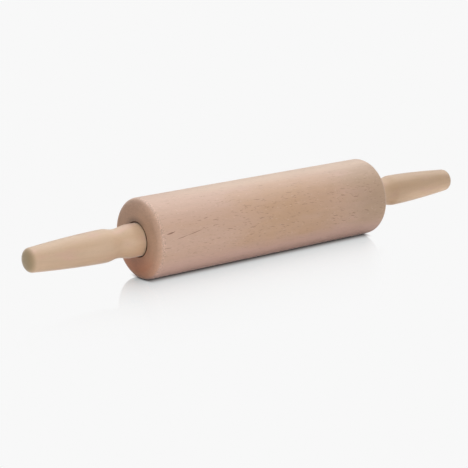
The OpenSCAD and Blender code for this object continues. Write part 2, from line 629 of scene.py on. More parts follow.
@dataclass(frozen=True)
class YearRings:
    """The darker late wood at the end of each year's growth.

    Attributes:
        waver: How the rings stray, in years.
        rise: Part of the year in which the late wood comes up.
        fall: Part of the year in which it ends.
        dark: How much darker it is.
    """

    waver: Streaks
    rise: Fade
    fall: Fade
    dark: float

    def shade(self, grain: Grain, ring_mm: float) -> Term:
        """Draws the late wood.

        Args:
            grain: The place in the log.
            ring_mm: Width of a year's growth.

        Returns:
            How much darker the place is.
        """
        years = grain.out / ring_mm + self.waver.along(grain)
        part = years.graph.math("FRACT", years)
        return self.rise.mask(part) * self.fall.mask(part) * self.dark


@dataclass(frozen=True)
class Sanding:
    """How fine-sanded, unvarnished wood takes the light.

    Attributes:
        pores: The pores, as streaks.
        rough: Roughness of the skin.
        pore_rough: How much the pores change it.
        end_rough: How much rougher the end grain is.
        pore_mm: Height of the pores' relief.
        fleck_mm: Depth of the dark flecks.
        speck_mm: Height of the end grain's specks.
        specular: Strength of the shine, where 0.5 is that of plain plastic.
        sheen: Strength of the pale fuzz seen at a slant.
        sheen_rough: How wide that fuzz spreads.
        ior: Refractive index.
    """

    pores: Streaks
    rough: float
    pore_rough: float
    end_rough: float
    pore_mm: float
    fleck_mm: float
    speck_mm: float
    specular: float
    sheen: float
    sheen_rough: float
    ior: float = 1.5

    def sockets(
        self, grain: Grain, colour: Term, flecks: Term, specks: Term, end_face: Term
    ) -> dict[str, Any]:
        """Lists what the surface shader's sockets take.

        Args:
            grain: The place in the log.
            colour: The wood's colour.
            flecks: Mask of the dark flecks.
            specks: The end grain's specks, round 0.
            end_face: Mask of the end grain.

        Returns:
            Values and links, by the sockets' names.
        """
        pores = self.pores.along(grain)
        height = pores * self.pore_mm - flecks * self.fleck_mm + specks * end_face * self.speck_mm
        return {
            "Base Color": colour,
            "Roughness": self.rough + pores * self.pore_rough + end_face * self.end_rough,
            "Normal": grain.along.graph.relief(height),
            "IOR": self.ior,
            "Specular IOR Level": self.specular,
            "Sheen Weight": self.sheen,
            "Sheen Roughness": self.sheen_rough,
        }


@dataclass(frozen=True)
class SkinTint:
    """How the beech's colour drifts over the barrel's rolling surface.

    Areas are in millimetres, along the pin from the barrel's middle or round the skin from -Y up.
    The colour along the top of the front is a painted highlight, and the colour low on the front
    is partly a painted reflection.

    Attributes:
        rosy: Colour of most of the skin.
        straw: Colour of the middle of the front.
        tan: Colour towards the right end.
        mauve: Colour low on the front, paler and bluer: partly the wood's pinker tone, partly a
            painted
        reflection of the white table.
        bleached: Painted highlight: the paler colour along the top of the front.
        patches: Clouds that make the colours' borders wander.
        ragged_mm: How far they move the borders round the skin.
        right_ragged_mm: How far they move the tan's border along the pin.
        front: Distance round the skin from -Y within which that side differs from the back.
        underneath: The underside.
        high_up: The upper side, and how much straw is lost there.
        middle_mm: Middle of the straw along the pin.
        middle: Distance from there within which straw shows.
        straw_patches: How much the clouds change the share of straw.
        straw_lost: Share of straw that is lost on the underside.
        right: Where tan shows along the pin.
        tan_lost: Share of tan that is lost on the underside.
        low_down: Where mauve shows round the skin.
        top: Where the painted highlight shows round the skin.
        top_along: Where it shows along the pin.
    """

    rosy: Colour = (196, 161, 140)
    straw: Colour = (190, 152, 120)
    tan: Colour = (178, 147, 119)
    mauve: Colour = (203, 168, 157)
    bleached: Colour = (203, 174, 151)
    patches: Clouds = Clouds(26.0, 9.0, detail=2.0)
    ragged_mm: float = 8.0
    right_ragged_mm: float = 60.0
    front: Fade = Fade(92.0, 58.0)
    underneath: Fade = Fade(-5.0, -24.0)
    high_up: Fade = Fade(24.0, 42.0, strength=0.35)
    middle_mm: float = 14.0
    middle: Fade = Fade(88.0, 18.0, strength=0.85)
    straw_patches: float = 1.1
    straw_lost: float = 0.7
    right: Fade = Fade(55.0, 112.0, strength=0.9)
    tan_lost: float = 0.6
    # low_down: Where mauve, partly a painted reflection, shows round the skin.
    low_down: Fade = Fade(-9.0, -24.0, strength=0.7)
    top: Fade = Fade(35.0, 47.0, strength=0.9)
    top_along: Fade = Fade(-125.0, -35.0)

    def colour(self, spot: Spot, skin: Term) -> Term:
        """Works out the colour, without its grain.

        Args:
            spot: The place on the barrel.
            skin: Place round the skin, in millimetres from -Y up.

        Returns:
            The colour.
        """
        graph = spot.graph
        patches = self.patches.over(spot)
        ragged = skin + patches * self.ragged_mm
        front = self.front.mask(abs(skin))
        underneath = self.underneath.mask(skin) * front
        shown = self.middle.mask(abs(spot.x - self.middle_mm))
        shown = shown - underneath * self.straw_lost - self.high_up.mask(skin) * front
        straw = graph.math("ADD", shown, patches * self.straw_patches, clamp=True)
        colour = graph.blend(straw, linear(self.rosy), linear(self.straw))
        right = self.right.mask(spot.x + patches * self.right_ragged_mm)
        right = right * (1.0 - underneath * self.tan_lost)
        colour = graph.blend(right, colour, linear(self.tan))
        # Partly painted reflection low on the front.
        colour = graph.blend(self.low_down.mask(ragged) * front, colour, linear(self.mauve))
        # Painted highlight along the top of the front.
        top = self.top.mask(ragged) * self.top_along.mask(spot.x) * front
        return graph.blend(top, colour, linear(self.bleached))


@dataclass(frozen=True)
class GrainMark:
    """One dark line of grain in the barrel's skin, pointed at both ends.

    Attributes:
        start_mm: Where it starts: along the pin, and round the skin from -Y up.
        end_mm: Where it ends.
        width_mm: Its greatest width.
        strength: How dark it is, from 0 to 1.
        hair_mm: Half its width at the points.
        crisp: How sharp its border is.
    """

    start_mm: tuple[float, float]
    end_mm: tuple[float, float]
    width_mm: float
    strength: float
    hair_mm: float = 0.02
    crisp: float = 1.7

    def mask(self, along: Term, round_skin: Term) -> Term:
        """Draws the line.

        Args:
            along: Place along the pin, in millimetres.
            round_skin: Place round the skin, in millimetres.

        Returns:
            A mask with the line's strength along its middle.
        """
        graph = along.graph
        run = self.end_mm[0] - self.start_mm[0]
        rise = self.end_mm[1] - self.start_mm[1]
        dx, dy = along - self.start_mm[0], round_skin - self.start_mm[1]
        length = math.hypot(run, rise)
        share = graph.math("ADD", dx * (run / length**2), dy * (rise / length**2), clamp=True)
        off_x, off_y = dx - share * run, dy - share * rise
        gap = graph.hypot(off_x, off_y)
        half_width = share * (1 - share) * (2 * self.width_mm) + self.hair_mm
        line = graph.math("MULTIPLY", 1.0 - gap / half_width, self.crisp, clamp=True)
        return line * self.strength


@dataclass(frozen=True)
class Flecks:
    """The dark rays of the barrel's skin, which crowd in a band, and its single dark marks.

    Areas are in millimetres, as in SkinTint.

    Attributes:
        long_rays: The long rays.
        long_shown: How dark they are away from the crowds, and how much darker within them.
        short_rays: The short rays.
        short_shown: The same for the short rays.
        crowd_mm: Size of a crowd along the pin and round the skin.
        crowd_slice: Where the pattern of crowds is cut.
        crowds: Values of that pattern between which a crowd comes up.
        band_round_mm: Middle of the band round the skin.
        band_round: Distance from there within which it shows.
        band_along_mm: Middle of the band along the pin.
        band_along: Distance from there within which it shows.
        outside_band: Share of the crowds that is left outside the band.
        sway: How far the single marks waver.
        marks: The single marks.
    """

    long_rays: Rays = Rays(length_mm=7.5, width_mm=0.52, depth_mm=14.0, share=0.55)
    long_shown: tuple[float, float] = (0.14, 0.80)
    short_rays: Rays = Rays(length_mm=3.4, width_mm=0.40, depth_mm=8.0, share=0.65)
    short_shown: tuple[float, float] = (0.12, 0.60)
    crowd_mm: tuple[float, float] = (34.0, 16.0)
    crowd_slice: float = 2.0
    crowds: Fade = Fade(-0.3, 0.15)
    band_round_mm: float = 9.0
    band_round: Fade = Fade(26.0, 10.0)
    band_along_mm: float = 14.0
    band_along: Fade = Fade(124.0, 68.0)
    outside_band: float = 0.3
    sway: Streaks = Streaks(7.0, 30.0, strength=0.9, detail=1.0)
    marks: tuple[GrainMark, ...] = (
        GrainMark((-110.8, 9.8), (-102.6, 10.7), width_mm=1.35, strength=1.0),
        GrainMark((-102.2, 4.5), (-91.0, 6.3), width_mm=0.6, strength=0.8),
        GrainMark((-91.5, 6.2), (-77.1, 8.4), width_mm=0.65, strength=0.85),
        GrainMark((-115.0, -1.2), (-106.7, -1.0), width_mm=0.6, strength=0.7),
        GrainMark((-74.0, 16.5), (-69.2, 17.2), width_mm=0.6, strength=0.75),
    )

    def crowd(self, spot: Spot, skin: Term) -> Term:
        """Works out how crowded the rays are.

        Args:
            spot: The place on the barrel.
            skin: Place round the skin, in millimetres from -Y up.

        Returns:
            A mask.
        """
        graph, (along_mm, round_mm) = spot.graph, self.crowd_mm
        where = graph.place(spot.x / along_mm, skin / round_mm, self.crowd_slice)
        crowd = self.crowds.mask(graph.noise(where, 1.0))
        band = self.band_round.mask(abs(skin - self.band_round_mm))
        band = band * self.band_along.mask(abs(spot.x - self.band_along_mm))
        return crowd * (self.outside_band + band * (1 - self.outside_band))

    def mask(self, spot: Spot, skin: Term, grain: Grain) -> Term:
        """Draws the rays and the marks.

        Args:
            spot: The place on the barrel.
            skin: Place round the skin, in millimetres from -Y up.
            grain: The place in the log.

        Returns:
            A mask.
        """
        graph = spot.graph
        crowd = self.crowd(spot, skin)
        drawn = []
        for rays, (alone, more) in (
            (self.long_rays, self.long_shown),
            (self.short_rays, self.short_shown),
        ):
            drawn.append(rays.mask(grain) * (alone + crowd * more))
        lines = graph.math("MAXIMUM", *drawn)
        swaying = skin + self.sway.along(grain)
        for mark in self.marks:
            lines = graph.math("MAXIMUM", lines, mark.mask(spot.x, swaying))
        return lines


@dataclass(frozen=True)
class EndShade:
    """A part of an end face: mostly a darker one, as painted shade or shadow, and once where the
    heart colour shows.

    Attributes:
        lean: How much a step to the back counts beside a step upwards.
        height: Where it comes up by that sum, in millimetres, and how dark it is.
        out: Distance from the axis over which it comes up, or nothing where it shows at all.
    """

    lean: float
    height: Fade
    out: Fade | None = None

    def mask(self, spot: Spot, from_axis: Term) -> Term:
        """Draws the darker part.

        Args:
            spot: The place on the end face.
            from_axis: Its distance from the axis.

        Returns:
            How much darker the place is.
        """
        height = self.height.mask(spot.z + spot.y * self.lean if self.lean else spot.z)
        return height * self.out.mask(from_axis) if self.out else height


@dataclass(frozen=True)
class EndGrain:
    """Colour of the barrel's end faces: warmer low down on the left one, darker at the recess.

    Parts of them are darker as painted shade and painted shadows.

    Attributes:
        plain: Colour of most of the face.
        rim: Colour near its edge.
        heart: Colour low down on the left one.
        left: Place along the pin from which a face is the left one.
        low: Where the heart's colour shows on it.
        edge: Distance from the axis from which the rim's colour shows.
        mouth_level: Lightness next to the recess.
        away: Distance from the axis over which it grows to full, and by how much.
        low_front: Painted shadow low in front of the collar.
        above: Painted shade above the collar.
        behind: Painted shade high up at the back.
        beneath: Painted shadow low down at the back.
        over_collar: Darker just over the collar.
        under_collar: Painted shadow just under the collar.
        speckle: Fine specks.
        figure: Streaks of the grain.
    """

    plain: Colour = (195, 154, 125)
    rim: Colour = (200, 162, 139)
    heart: Colour = (194, 128, 92)
    left: Fade = Fade(-104.0, -114.0)
    low: EndShade = EndShade(-0.25, Fade(8.0, -26.0))
    edge: Fade = Fade(24.0, 31.0, strength=0.6)
    mouth_level: float = 0.9
    away: Fade = Fade(14.0, 22.0, strength=0.1)
    low_front: EndShade = EndShade(-0.6, Fade(-6.0, -24.0, strength=0.14), Fade(31.0, 18.0))
    above: EndShade = EndShade(0.0, Fade(2.0, 16.0, strength=0.08))
    behind: EndShade = EndShade(0.8, Fade(12.0, 30.0, strength=0.14))
    beneath: EndShade = EndShade(-0.8, Fade(-14.0, -28.0, strength=0.16))
    over_collar: EndShade = EndShade(0.6, Fade(4.0, 12.0, strength=0.3), Fade(20.0, 14.0))
    under_collar: EndShade = EndShade(0.0, Fade(9.0, -4.0, strength=0.11), Fade(25.0, 17.0))
    speckle: Clouds = Clouds(1.3, 0.6, detail=2.0, roughness=0.6, strength=0.34)
    figure: Streaks = Streaks(2.0, 1.4, strength=0.24)

    def colour(self, spot: Spot, grain: Grain) -> Term:
        """Works out the colour.

        Args:
            spot: The place on the barrel.
            grain: The place in the log.

        Returns:
            The colour.
        """
        graph, from_axis = spot.graph, spot.from_axis()
        warm = self.left.mask(spot.x) * self.low.mask(spot, from_axis)
        face = graph.blend(warm, linear(self.plain), linear(self.heart))
        face = graph.blend(self.edge.mask(from_axis), face, linear(self.rim))
        level = self.mouth_level + self.away.mask(from_axis)
        # Painted shade and painted shadows, and the darkening just over the collar.
        for part in (
            self.low_front,
            self.above,
            self.behind,
            self.beneath,
            self.over_collar,
            self.under_collar,
        ):
            level = level - part.mask(spot, from_axis)
        return graph.scale(face, level + self.speckle.over(spot) + self.figure.along(grain))


@dataclass(frozen=True)
class BarrelBeech(Finish):
    """Fine-sanded, unvarnished beech, cut so that the rays show end on towards -Y.

    Attributes:
        name: The material's name.
        log: How the barrel lay in its log.
        tint: Colour of the rolling surface.
        flecks: Dark rays and marks.
        ends: Colour of the end faces.
        years: Late wood.
        long_streaks: Long, wide streaks of the grain.
        fine_streaks: Short, narrow streaks of the grain.
        mottle: Soft patches.
        brown: Colour of the dark rays and marks.
        pale: Colour of the pale rays.
        pale_rays: The pale rays.
        pale_shown: How much of their colour shows.
        face: Distance from the end over which the end grain comes up, in edge radii.
        round_edge: The same for the rounded edge.
        specks: Specks of the cut fibres.
        edge_specks: How much they show on the rounded edge.
        left_specks: Where along the pin they show more, and how much.
        burnt: Painted shade: colour of the dark line round each recess, where the gap round the
        collar lies in shade.
        line: Distance from the axis, in millimetres, within which that colour shows.
        oval: Height of that line for one unit of its width.
        burnt_rough: Roughness of the painted shade.
        burnt_specular: Strength of its shine.
        sanding: How the wood takes the light.
    """

    name: str = "barrel_beech"
    log: Log = Log(pith_mm=118.0, pith_deg=16.0, slope=-0.08, seed=0.37)
    tint: SkinTint = SkinTint()
    flecks: Flecks = Flecks()
    ends: EndGrain = EndGrain()
    years: YearRings = YearRings(
        waver=Streaks(60.0, 9.0, strength=0.8),
        rise=Fade(0.35, 0.95),
        fall=Fade(1.0, 0.96),
        dark=0.02,
    )
    long_streaks: Streaks = Streaks(32.0, 2.6, strength=0.06)
    fine_streaks: Streaks = Streaks(5.0, 0.5, strength=0.13)
    mottle: Clouds = Clouds(11.0, 5.0, detail=2.0, strength=0.07)
    brown: Colour = (122, 82, 56)
    pale: Colour = (214, 188, 166)
    pale_rays: Rays = Rays(length_mm=2.8, width_mm=0.55, depth_mm=6.0, share=0.35)
    pale_shown: float = 0.45
    face: Fade = Fade(0.68, 0.26)
    round_edge: Fade = Fade(1.3, 0.7)
    specks: Clouds = Clouds(0.9, 0.8)
    edge_specks: float = 0.4
    left_specks: Fade = Fade(60.0, -60.0)
    burnt: Colour = (54, 25, 5)
    line: Fade = Fade(14.55, 14.15)
    oval: float = 0.96
    burnt_rough: float = 0.95
    burnt_specular: float = 0.1
    sanding: Sanding = Sanding(
        pores=Streaks(1.4, 0.13, detail=1.0),
        rough=0.56,
        pore_rough=0.12,
        end_rough=0.16,
        pore_mm=0.012,
        fleck_mm=0.05,
        speck_mm=0.05,
        specular=1.0,
        sheen=0.3,
        sheen_rough=0.35,
    )

    def skin_colour(self, spot: Spot, skin: Term, grain: Grain, flecks: Term) -> Term:
        """Colours the rolling surface.

        Args:
            spot: The place on the barrel.
            skin: Place round the skin, in millimetres from -Y up.
            grain: The place in the log.
            flecks: Mask of the dark rays and marks.

        Returns:
            The colour.
        """
        graph = spot.graph
        level = 1.0 - self.years.shade(grain, self.log.ring_mm)
        level = level + self.long_streaks.along(grain) + self.fine_streaks.along(grain)
        colour = graph.scale(self.tint.colour(spot, skin), level + self.mottle.over(spot))
        colour = graph.blend(flecks, colour, linear(self.brown))
        pale = self.pale_rays.mask(grain) * self.pale_shown
        return graph.blend(pale, colour, linear(self.pale))

    def burnt_line(self, spot: Spot) -> Term:
        """Mask of the painted shade: the dark line round each recess, and all that lies within
        it.
        """
        return self.line.mask(spot.graph.hypot(spot.y * self.oval, spot.z))

    def material(self, half_length: float, edge: float, radius: float) -> bpy.types.Material:
        """Builds the finish.

        Args:
            half_length: Half the barrel's length.
            edge: Radius of its rounded end edges.
            radius: Radius of its rolling surface.

        Returns:
            The material.
        """
        material, spot = self.start()
        graph = spot.graph
        grain = self.log.grain(spot)
        skin = graph.math("ARCTAN2", spot.z, 0.0 - spot.y) * (radius * PER_MM)
        flecks = self.flecks.mask(spot, skin, grain)
        colour = self.skin_colour(spot, skin, grain, flecks)

        from_end = (half_length * PER_MM - abs(spot.x)) / (edge * PER_MM)
        end_face = self.face.mask(from_end)
        colour = graph.blend(end_face, colour, self.ends.colour(spot, grain))
        specks = self.specks.over(spot)
        rim = self.round_edge.mask(from_end) - end_face
        shown = self.edge_specks + self.left_specks.mask(spot.x)
        colour = graph.scale(colour, 1.0 + specks * rim * shown)
        self.close(
            graph,
            self.sanding.sockets(grain, colour, flecks, specks, end_face),
            # The patch is painted shade: the dark line round each recess and all within it, with
            # little shine.
            patch={
                "Base Color": linear(self.burnt),
                "Roughness": self.burnt_rough,
                "Specular IOR Level": self.burnt_specular,
            },
            share=self.burnt_line(spot),
        )
        return material


@dataclass(frozen=True)
class HandleWood(Finish):
    """Fine-sanded, unvarnished pale hardwood, plainer and yellower than the barrel.

    Attributes:
        name: The material's name.
        log: How the handle lay in its log.
        cream: The palest colour of the wood.
        honey: Its yellower colour.
        pink: Its pinker colour.
        tone: Patches in which cream and honey change over, about half of each.
        blush: Patches that turn pink.
        blushing: Values of that pattern between which pink comes up, and how much of it shows.
        years: Late wood.
        pale_end: Painted light: distance from the handle's end over which it grows paler towards
        the collar, and by how much.
        long_streaks: Long, wide streaks of the grain.
        fine_streaks: Short, narrow streaks of the grain.
        mottle: Soft patches.
        brown: Colour of the rays.
        rays: The rays.
        rays_shown: How much of their colour shows.
        end_grain: Colour of the end grain.
        face: Distance from the end over which the end grain comes up, in lengths of the rounding.
        speckle: Specks of the end grain.
        end_contrast: How much the specks change its colour.
        sanding: How the wood takes the light.
    """

    name: str = "handle_wood"
    log: Log = Log(pith_mm=70.0, pith_deg=40.0)
    cream: Colour = (204, 175, 147)
    honey: Colour = (196, 164, 133)
    pink: Colour = (202, 165, 143)
    tone: Clouds = Clouds(30.0, 11.0, strength=1.6)
    blush: Clouds = Clouds(19.0, 9.0)
    blushing: Fade = Fade(0.0, 0.25, strength=0.7)
    years: YearRings = YearRings(
        waver=Streaks(40.0, 8.0, strength=0.7),
        rise=Fade(0.3, 0.92),
        fall=Fade(1.0, 0.95),
        dark=0.025,
    )
    pale_end: Fade = Fade(62.0, 92.0, strength=0.08)
    long_streaks: Streaks = Streaks(30.0, 1.8, strength=0.06)
    fine_streaks: Streaks = Streaks(6.0, 0.45, strength=0.08)
    mottle: Clouds = Clouds(3.0, 3.0, detail=2.0, strength=0.04)
    brown: Colour = (150, 116, 84)
    rays: Rays = Rays(length_mm=2.4, width_mm=0.30, depth_mm=9.0, share=0.45)
    rays_shown: float = 0.2
    end_grain: Colour = (160, 138, 104)
    face: Fade = Fade(1.1, 0.1)
    speckle: Clouds = Clouds(1.2, 0.45, detail=2.0, roughness=0.6)
    end_contrast: float = 0.3
    sanding: Sanding = Sanding(
        pores=Streaks(1.6, 0.12, detail=1.0),
        rough=0.54,
        pore_rough=0.12,
        end_rough=0.14,
        pore_mm=0.010,
        fleck_mm=0.01,
        speck_mm=0.04,
        specular=0.7,
        sheen=0.5,
        sheen_rough=0.4,
    )

    def side_colour(self, spot: Spot, grain: Grain, from_end: Term) -> Term:
        """Colours the turned surface, without its rays.

        Args:
            spot: The place on the handle.
            grain: The place in the log.
            from_end: Distance from the handle's end, in millimetres.

        Returns:
            The colour.
        """
        graph, seed = spot.graph, self.log.seed
        tone = self.tone.over(spot, (0.0, 0.0, seed)) + 0.5
        colour = graph.blend(tone, linear(self.cream), linear(self.honey))
        blush = self.blushing.mask(self.blush.over(spot, (seed, 0.0, 0.0)))
        colour = graph.blend(blush, colour, linear(self.pink))
        # Painted light: paler towards the collar.
        level = 1.0 - self.years.shade(grain, self.log.ring_mm) + self.pale_end.mask(from_end)
        level = level + self.long_streaks.along(grain) + self.fine_streaks.along(grain)
        return graph.scale(colour, level + self.mottle.over(spot))

    def material(self, end_x: float, tip_length: float) -> bpy.types.Material:
        """Builds the finish.

        Args:
            end_x: Place of the handle's end along the pin.
            tip_length: Length of the rounding at that end.

        Returns:
            The material.
        """
        material, spot = self.start()
        graph = spot.graph
        grain = self.log.grain(spot)
        from_end = abs(end_x * PER_MM - spot.x)
        colour = self.side_colour(spot, grain, from_end)
        rays = self.rays.mask(grain)
        colour = graph.blend(rays * self.rays_shown, colour, linear(self.brown))

        end_face = self.face.mask(from_end / (tip_length * PER_MM))
        speckle = self.speckle.over(spot)
        fibres = graph.scale(linear(self.end_grain)[:3], 1.0 + speckle * self.end_contrast)
        colour = graph.blend(end_face, colour, fibres)
        self.close(graph, self.sanding.sockets(grain, colour, rays, speckle, end_face))
        return material


# Steel


class Working(Enum):
    """How a steel surface was worked, with the pattern of the fine scratches that this leaves.

    Ground steel has its scratches in rings round the pin's axis, and the others straight.
    """

    DRAWN = Clouds(14.0, 0.09, detail=3.0, roughness=0.6)
    GROUND = Clouds(0.08, 0.08, detail=3.0, roughness=0.6)
    POLISHED = Clouds(0.9, 0.9, detail=3.0, roughness=0.6)
    PRESSED = Clouds(0.25, 0.35, detail=3.0, roughness=0.6)


@dataclass(frozen=True)
class Steel(Finish):
    """Bare steel with the fine scratches of its working and a thin film of oil.

    Attributes:
        name: The material's name.
        colour: Colour of the clean metal.
        rough: Roughness between the scratches.
        working: How the surface was worked.
        film: Patches of the oil film.
        film_contrast: How much the film changes from patch to patch.
        film_share: Share of the film in all.
        oil: What the film leaves of red, green and blue.
        scratch_light: How much the scratches change the colour.
        scratch_rough: How much they change the roughness.
        film_rough: How much the film changes it.
        scratch_mm: Depth of the scratches.
    """

    name: str
    colour: Colour
    rough: float
    working: Working
    film: Clouds = Clouds(5.0, 4.0, detail=3.0)
    film_contrast: float = 1.2
    film_share: float = 0.3
    oil: tuple[float, float, float] = (0.93, 0.90, 0.84)
    scratch_light: float = 0.14
    scratch_rough: float = 0.14
    film_rough: float = 0.08
    scratch_mm: float = 0.004

    def scratches(self, spot: Spot) -> Term:
        """Lays the scratches the way the surface was worked.

        Args:
            spot: The place on the piece.

        Returns:
            A value round 0.
        """
        if self.working is Working.GROUND:
            spot = Spot(spot.graph, spot.x, spot.from_axis(), 0.0)
        return self.working.value.over(spot)

    def material(self) -> bpy.types.Material:
        """Builds the finish.

        Returns:
            The material.
        """
        material, spot = self.start()
        graph = spot.graph
        scratches = self.scratches(spot)
        film = self.film.over(spot)
        oiled = tuple(part * left for part, left in zip(self.colour, self.oil))
        share = film * self.film_contrast + self.film_share
        colour = graph.blend(share, linear(self.colour), linear(oiled))
        rough = self.rough + scratches * self.scratch_rough + film * self.film_rough
        self.close(
            graph,
            {
                "Base Color": graph.scale(colour, 1.0 + scratches * self.scratch_light),
                "Metallic": 1.0,
                "Roughness": rough,
                "Normal": graph.relief(scratches * self.scratch_mm),
            },
        )
        return material


# Turning


@dataclass(frozen=True)
class Lathe:
    """Turns an outline into a closed solid round the pin's axis.

    Attributes:
        steps: Number of steps in a full turn.
        sharp_deg: Edges that fold by more than this stay crisp.
    """

    steps: int
    sharp_deg: float = 32.0

    def start(self, name: str) -> bpy.types.Object:
        """Adds a plane and merges it to the one point that an outline starts from.

        Args:
            name: The piece's name.

        Returns:
            The new object, in edit mode, with its point selected.
        """
        bpy.ops.object.select_all(action="DESELECT")
        bpy.ops.mesh.primitive_plane_add(size=MM, location=(0, 0, 0))
        piece = bpy.context.active_object
        piece.name = piece.data.name = name
        bpy.ops.object.mode_set(mode="EDIT")
        bpy.ops.mesh.select_all(action="SELECT")
        bpy.ops.mesh.merge(type="CENTER")
        return piece

    def draw(self, outline: Outline) -> None:
        """Draws an outline by extruding the selected point from place to place.

        Args:
            outline: Places (along the pin, distance from its axis). The first is where the
                point is moved before it is extruded.
        """
        at_x, at_r = outline[0]
        bpy.ops.transform.translate(value=(at_x, 0, at_r))
        for x, r in outline[1:]:
            step = {"value": (x - at_x, 0, r - at_r)}
            bpy.ops.mesh.extrude_region_move(TRANSFORM_OT_translate=step)
            at_x, at_r = x, r

    def spin(self) -> None:
        """Spins the drawn outline a full turn, closes it, and faces it outwards."""
        bpy.ops.mesh.select_all(action="SELECT")
        bpy.ops.mesh.spin(
            steps=self.steps, angle=2 * math.pi, center=(0, 0, 0), axis=(1, 0, 0)
        )
        bpy.ops.mesh.select_all(action="SELECT")
        bpy.ops.mesh.remove_doubles(threshold=SAME_PLACE)
        bpy.ops.mesh.select_all(action="SELECT")
        bpy.ops.mesh.normals_make_consistent(inside=False)

    def finish(self, piece: bpy.types.Object) -> bpy.types.Object:
        """Leaves edit mode and smooths the piece except across its crisp edges.

        Args:
            piece: The turned piece.

        Returns:
            The same piece.
        """
        bpy.ops.object.mode_set(mode="OBJECT")
        bpy.ops.object.select_all(action="DESELECT")
        piece.select_set(True)
        bpy.context.view_layer.objects.active = piece
        bpy.ops.object.shade_smooth_by_angle(angle=math.radians(self.sharp_deg))
        return piece


def select_points(piece: bpy.types.Object, wanted: Callable[[Vector], bool]) -> None:
    """Selects points of a mesh in edit mode by their place.

    Args:
        piece: The object in edit mode.
        wanted: Says whether a place is wanted.
    """
    bpy.ops.mesh.select_mode(type="VERT")
    bpy.ops.mesh.select_all(action="DESELECT")
    mesh = bmesh.from_edit_mesh(piece.data)
    for point in mesh.verts:
        point.select_set(wanted(point.co))
    mesh.select_flush_mode()
    bmesh.update_edit_mesh(piece.data)


def even_steps(start: float, end: float, longest: float) -> list[float]:
    """Places between two ends, evenly spaced, without the ends.

    Args:
        start: Place of the first end.
        end: Place of the second end.
        longest: The greatest step.

    Returns:
        The places in order.
    """
    count = max(1, math.ceil(abs(end - start) / longest))
    return [start + (end - start) * i / count for i in range(1, count)]


# The pin


@dataclass
class Barrel:
    """The barrel: a turned cylinder with a bearing seat and a recess in each end.

    Attributes:
        edge: Radius of the rounded end edges.
        mouth: Chamfer at the mouth of each recess.
        collar_gap: Clearance round a handle's collar in its recess.
        bore_gap: Clearance round the axle in the bore.
        seat_gap: Clearance round a bearing in its seat.
        wall_step: Length of a face along the walls.
        edge_steps: Number of faces across a rounded edge.
        lathe: How finely the barrel is turned.
        finish: Its wood.
    """

    edge: float = 5.6 * MM
    mouth: float = 0.2 * MM
    collar_gap: float = 0.5 * MM
    bore_gap: float = 0.8 * MM
    seat_gap: float = 0.02 * MM
    wall_step: float = 9 * MM
    edge_steps: int = 12
    lathe: Lathe = Lathe(steps=240)
    finish: BarrelBeech = BarrelBeech()

    def half_outline(self) -> Outline:
        """Lists the corners from the middle of the rolling surface round one end to the bore.

        Returns:
            Places (along the pin, distance from its axis).
        """
        end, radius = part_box("barrel")[1].x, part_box("barrel")[1].z
        seat_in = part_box("right_outer_race")[0].x
        seat_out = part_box("right_outer_race")[1].x
        seat_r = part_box("right_outer_race")[1].z + self.seat_gap
        recess_r = HandleSizes().collar_r + self.collar_gap
        bore_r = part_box("axle")[1].z + self.bore_gap
        wall = even_steps(0.0, end - self.edge, self.wall_step)
        face = even_steps(radius - self.edge, recess_r + self.mouth, self.wall_step)
        side = even_steps(end - self.mouth, seat_out, self.wall_step)
        bore = even_steps(seat_in, 0.0, 2 * self.wall_step)
        return (
            [(0.0, radius)]
            + [(x, radius) for x in wall]
            + [(end, radius)]
            + [(end, r) for r in face]
            + [(end, recess_r + self.mouth), (end - self.mouth, recess_r)]
            + [(x, recess_r) for x in side]
            + [(seat_out, recess_r), (seat_out, seat_r), (seat_in, seat_r), (seat_in, bore_r)]
            + [(x, bore_r) for x in bore]
            + [(0.0, bore_r)]
        )

    def build(self) -> bpy.types.Object:
        """Turns the barrel, dresses it and puts it in its CAD node's place.

        Returns:
            The barrel.
        """
        half = self.half_outline()
        left = [(-x, r) for x, r in half[:0:-1]]
        end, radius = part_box("barrel")[1].x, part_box("barrel")[1].z
        piece = self.lathe.start("barrel_wood")
        self.lathe.draw(half + left + [half[0]])
        bpy.ops.mesh.select_all(action="SELECT")
        bpy.ops.mesh.remove_doubles(threshold=SAME_PLACE)

        def at_edge(place: Vector) -> bool:
            """Whether a place is a sharp end corner of the rolling surface."""
            return abs(abs(place.x) - end) < SAME_PLACE and abs(place.z - radius) < SAME_PLACE

        select_points(piece, at_edge)
        bpy.ops.mesh.bevel(
            offset=self.edge,
            offset_type="OFFSET",
            segments=self.edge_steps,
            profile=ROUND_PROFILE,
            affect="VERTICES",
        )
        self.lathe.spin()
        self.lathe.finish(piece)
        piece.data.materials.append(self.finish.material(end, self.edge, radius))
        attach(piece, "barrel")
        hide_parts("barrel")
        return piece


